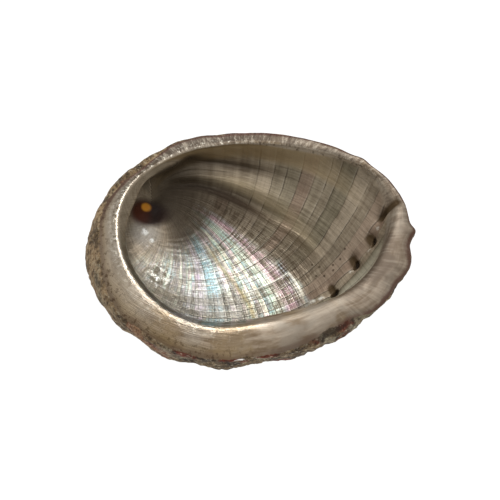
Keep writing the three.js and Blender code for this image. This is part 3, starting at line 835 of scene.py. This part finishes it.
lip_colour = (cosine.step(-0.6, -0.9) * 0.45).mix(lip_colour, APEX_LIP)
near_margin = ring.step(6.45, 6.95) * cosine.bell(0.48, 0.35) * sine.step(-0.3, -0.7)
lip_colour = (near_margin * 0.65).mix(lip_colour, NEAR_MARGIN)
margin = ring.step(6.35, 6.85) * cosine.step(0.3, -0.3) * sine.step(0.6, 0.2)
lip_colour = (margin * 0.6).mix(lip_colour, MARGIN)
lip_colour = (margin * specks.step(0.47, 0.38) * 0.8).mix(lip_colour, MARGIN_SPECK)
# On the far lip, painted shade darkens the top that faces the window, and painted light brightens the inner
# face turned away from it.
lip_colour = (far_lip * (0.9 - far_right * 0.5) * ring.step(5.9, 6.3)).mix(lip_colour, FAR_LIP_SHADE)
lip_colour = (far_lip * (0.5 + far_right * 0.35) * ring.step(6.1, 5.8)).mix(lip_colour, FAR_LIP_INNER_LIGHT)
# Painted shade dims the right lip's crest where the window lights it.
front_shade = cosine.step(0.7, 0.95) * (1.0 - far_lip) * (0.35 + clouds.step(0.56, 0.42) * 0.6)
lip_colour = front_shade.mix(lip_colour, FRONT_SHADE)
rib_share = thin_side * (0.3 + far_lip * 0.7)
lip_colour = (ribs.step(0.5, 0.66) * 0.6 * rib_share).mix(lip_colour, RIB_CREST)
lip_colour = (ribs.step(0.49, 0.34) * 0.7 * rib_share).mix(lip_colour, RIB_FURROW)
# Along the crest: painted sparkle highlights among small dark pits.
beads_and_sparkle = ring.bell(6.1, 0.3) * cosine.step(0.2, -0.4) * (0.4 + sine.step(-0.5, 0.0) * 0.6)
lip_colour = (beads_and_sparkle * specks.step(0.55, 0.64) * 0.9).mix(lip_colour, BEAD_SPARKLE)
lip_colour = (beads_and_sparkle * cosine.step(-0.5, -0.9) * specks.step(0.44, 0.37)).mix(lip_colour, DARK_BEAD)
lip_start = 5.75 - cosine.step(-0.2, 0.4) * 0.95
colour = (ring - lip_start).step(0.0, 0.35).mix(colour, lip_colour)
edge_way = ring + (blotches - 0.5) * 0.5 + far_lip * 0.12
colour = (edge_way.step(6.72, 6.88) * (0.35 + thin_side * 0.5)).mix(colour, EDGE_BROWN)

# The apex: a small red-brown hollow darkened with painted shade, a red glow and an orange spot painted as
# light shining through the thin apex, and a bright pearly knob beside it with painted glints. Painted shade
# also lies beside the apex and under the left crest. Places are in millimetres, and a glint's last number
# is its radius.
BESIDE_APEX_SHADE = paint(84, 72, 54)
APEX_SHADE = paint(50, 38, 24)
UNDER_CREST_SHADE = paint(78, 66, 46)
HOLLOW_SHADE = paint(38, 16, 4)
RED_GLOW = paint(84, 34, 8)
ORANGE_GLOW = paint(236, 158, 44)
KNOB = paint(172, 170, 164)
APEX_GLINT = paint(248, 248, 244)
PITTED_DARK = paint(96, 88, 70)
PITTED_SPARKLE = paint(248, 246, 236)
HOLLOW_PLACE = (-45.5, 26.3, 16.0)
RED_GLOW_PLACE = (-48.6, 25.4, 17.6)
ORANGE_GLOW_PLACE = (-46.1, 28.4, 17.6)
KNOB_PLACE = (-47.1, 18.5, 12.8)
PITTED_PLACE = (-40.0, -1.0, 11.0)
APEX_GLINTS = ((-47.1, 18.5, 12.8, 2.4), (-44.0, 15.1, 10.8, 1.4), (-46.0, 12.4, 10.0, 1.1))


def distance_at(x, y, z, stretch=(1.0, 1.0, 1.0)):
    """Distance in metres from a place given in millimetres, with each axis stretched."""
    scaled = start.node("ShaderNodeVectorMath", {"operation": "MULTIPLY"}, {0: place, 1: stretch})
    middle = [(x - OUTLINE_MIDDLE[0]) * MM * stretch[0], (y - OUTLINE_MIDDLE[1]) * MM * stretch[1],
              (z - REST_CUT_HEIGHT) * MM * stretch[2]]
    return start.node("ShaderNodeVectorMath", {"operation": "DISTANCE"}, {0: scaled, 1: middle}, 1)


# Painted shade beside the apex, stronger towards it, and under the crest of the left lip.
beside_apex_shade = reach_at.step(32.0, 12.0) * fold_at.step(-112.0, -84.0) * inside
colour = (beside_apex_shade * 0.6).mix(colour, BESIDE_APEX_SHADE)
apex_shade = reach_at.step(42.0, 16.0) * fold_at.step(-100.0, -64.0) * angle_at.step(88.0, 40.0)
colour = (apex_shade * inside * 0.7).mix(colour, APEX_SHADE)
under_crest_shade = ring.step(4.8, 5.4) * ring.step(6.0, 5.7) * cosine.step(-0.35, -0.8)
colour = (under_crest_shade * 0.6).mix(colour, UNDER_CREST_SHADE)
# Painted shade darkens the red-brown apex hollow.
hollow_shade = distance_at(*HOLLOW_PLACE, (0.7, 1.3, 0.7)).step(9.0 * MM, 4.5 * MM) * inside
colour = hollow_shade.mix(colour, HOLLOW_SHADE)
# Painted light: a red glow and an orange spot where light shines through the thin apex.
red_glow = distance_at(*RED_GLOW_PLACE).step(7.5 * MM, 2.0 * MM) * inside
colour = (red_glow * 0.9).mix(colour, RED_GLOW)
orange_glow = distance_at(*ORANGE_GLOW_PLACE, (1.0, 1.5, 1.0)).step(3.4 * MM, 1.8 * MM)
colour = orange_glow.mix(colour, ORANGE_GLOW)
knob = distance_at(*KNOB_PLACE).step(10.0 * MM, 3.0 * MM) * inside * (1.0 - hollow_shade)
colour = (knob * 0.5).mix(colour, KNOB)
# Painted glints on the knob.
for x, y, z, radius in APEX_GLINTS:
    glint = distance_at(x, y, z).step(radius * MM, radius * MM * 0.1)
    colour = (glint * inside * specks.step(0.36, 0.56)).mix(colour, APEX_GLINT)
# A pitted patch: dark pits with painted sparkle between them.
pitted = distance_at(*PITTED_PLACE).step(8.0 * MM, 4.0 * MM) * inside
colour = (pitted * specks.step(0.5, 0.42)).mix(colour, PITTED_DARK)
colour = (pitted * specks.step(0.55, 0.62)).mix(colour, PITTED_SPARKLE)

# Round the breathing holes: brown painted shade in the funnels, the tubes and the forming hole's groove,
# painted glints on the crease, and small pits.
FUNNEL_SHADE_BROWN = paint(74, 56, 30)
HOLE_GLINT = paint(248, 244, 230)
PIT = paint(60, 46, 28)
HOLE_GLINTS = ((54.5, 11.1, 29.3, 1.6), (50.6, 3.2, 24.2, 1.5), (43.4, -3.4, 17.0, 1.5),
               (31.0, -13.4, 10.2, 1.7), (27.5, -14.0, 8.4, 1.7))
PITS = ((39.7, 3.8, 14.3), (41.8, 7.7, 16.6), (27.7, 4.1, 8.0), (29.4, -1.3, 7.8),
        (32.8, -2.0, 9.4), (30.8, 2.7, 8.9), (36.7, -0.3, 11.7), (36.6, 2.2, 11.9))

# Brown painted shade in the funnels and the groove.
colour = (funnel_shaded.step(0.15, 0.8) * 0.95).mix(colour, FUNNEL_SHADE_BROWN)
# Painted glints on the crease between the holes.
for x, y, z, radius in HOLE_GLINTS:
    glint = distance_at(x, y, z, (0.65, 1.1, 1.0)).step(radius * MM, radius * MM * 0.2)
    colour = (glint * inside * specks.step(0.36, 0.54)).mix(colour, HOLE_GLINT)
for pit_place in PITS:
    pit = distance_at(*pit_place).step(0.8 * MM, 0.3 * MM) * inside * 0.75
    colour = pit.mix(colour, PIT)

# The crust: brick red and dark brown, with beige and lime growth, more of it at the apex
# end, and a white chip at the near side. A brick patch's last number is its radius.
DARK_CRUST = paint(48, 36, 26)
PALE_CRUST = paint(124, 104, 76)
RED_CRUST = paint(104, 50, 32)
LIME = paint(136, 126, 104)
BRICK = paint(104, 40, 24)
BEIGE = paint(176, 148, 112)
CRUST_DARK_SPECK = paint(46, 34, 24)
CRUST_PALE_SPECK = paint(190, 178, 152)
OVERHANG_SHADOW = paint(38, 28, 20)
WHITE_CHIP = paint(238, 234, 228)
BRICK_PATCHES = ((-26.0, -51.0, 37.4, 6.0), (-8.5, -54.0, 36.5, 5.0))
WHITE_CHIP_PLACE = (-4.2, -53.0, 35.6)

crust_noise = place.noise(160.0, 5.0, 0.65)
crust_patch = place.noise(45.0, 3.0, 0.55)
crust_colour = crust_noise.step(0.35, 0.65).mix(DARK_CRUST, PALE_CRUST)
crust_colour = crust_patch.step(0.56, 0.62).mix(crust_colour, RED_CRUST)
lime = place.noise(70.0, 4.0, 0.6).step(0.54, 0.64)
crust_colour = (lime * 0.75).mix(crust_colour, LIME)
for x, y, z, radius in BRICK_PATCHES:
    brick = distance_at(x, y, z).step(radius * MM, radius * MM * 0.6) * crust_noise.step(0.35, 0.5)
    crust_colour = (brick * 0.9).mix(crust_colour, BRICK)
beige = cosine.step(-0.5, -0.9) * place.noise(110.0, 3.0, 0.6).step(0.35, 0.6)
crust_colour = (beige * 0.7).mix(crust_colour, BEIGE)
crust_colour = (specks.step(0.5, 0.38) * 0.7).mix(crust_colour, CRUST_DARK_SPECK)
crust_colour = (specks.step(0.54, 0.66) * 0.5).mix(crust_colour, CRUST_PALE_SPECK)
# Painted shadow on the crust under the overhanging pearly edge at the near right, where the crust also
# starts earlier.
shaded_overhang = cosine.bell(0.62, 0.16) * sine.step(-0.4, -0.6)
crust_colour = (shaded_overhang * (ring - 6.95).step(0.3, 0.1) * 0.8).mix(crust_colour, OVERHANG_SHADOW)
white_chip = distance_at(*WHITE_CHIP_PLACE, (0.8, 1.0, 1.0)).step(2.2 * MM, 1.2 * MM)
crust_colour = white_chip.mix(crust_colour, WHITE_CHIP)
crust_start = 7.0 - sine.step(0.2, 0.7) * 0.1 - shaded_overhang * 0.2
crusted = (ring - crust_start + (crust_noise - 0.5) * 0.5).step(-0.03, 0.05)
colour = crusted.mix(colour, crust_colour)

# The finish: fine relief, a smoother crest on the broad lip, and a dull crust.
RELIEF_DEPTH = 0.4
RELIEF_STRENGTH = 0.6
BASE_ROUGHNESS = 0.44
COAT_ROUGHNESS = 0.24
REFLECTION_LEVEL = 0.35

on_lip = (ring - lip_start).step(0.0, 0.3)
height = (growth_streaks - 0.5) * inside * 0.8 + (rib_streaks - 0.5) * inside * 0.8
height = height - dark_lines * 0.3 + (fine_streaks - 0.5) * inside * 0.8
height = height + (ripples - 0.5) * fan * 0.8 + pitted * specks * 1.5
height = height + (ribs - 0.5) * on_lip * (0.1 + rib_share * 1.2)
height = height + (streak - 0.5) * on_lip * 0.25 + (clouds - 0.5) * on_lip * 1.2
height = height + crusted * ((crust_noise - 0.5) * 3.0 + (specks - 0.5) * 1.2)
height = height + beads_and_sparkle * (specks - 0.5) * 0.8
relief = start.node("ShaderNodeBump", {}, {"Strength": RELIEF_STRENGTH, "Distance": RELIEF_DEPTH * MM,
                                           "Height": height})
polished = cosine.step(0.45, -0.1) * sine.step(0.75, 0.35) * ring.step(6.45, 6.15)
crest = ring.bell(6.0, 0.25) * polished
rough = BASE_ROUGHNESS + dark_lines * 0.2 - polished * 0.1 - crest * 0.12 + crusted * 0.43
rough = rough + funnel_shaded * 0.2 + on_lip * (1.0 - polished) * 0.1
sheen = (0.35 + fan * 0.35) * (1.0 - crusted)
coat = polished * 0.3 * (1.0 - crusted)

for socket_name, signal in (("Base Color", colour), ("Roughness", rough), ("Metallic", sheen),
                            ("Coat Weight", coat), ("Normal", relief)):
    nacre.node_tree.links.new(signal.socket, shader.inputs[socket_name])
shader.inputs["Coat Roughness"].default_value = COAT_ROUGHNESS
shader.inputs["Specular IOR Level"].default_value = REFLECTION_LEVEL

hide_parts("abalone_shell")
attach(shell_piece, "root")
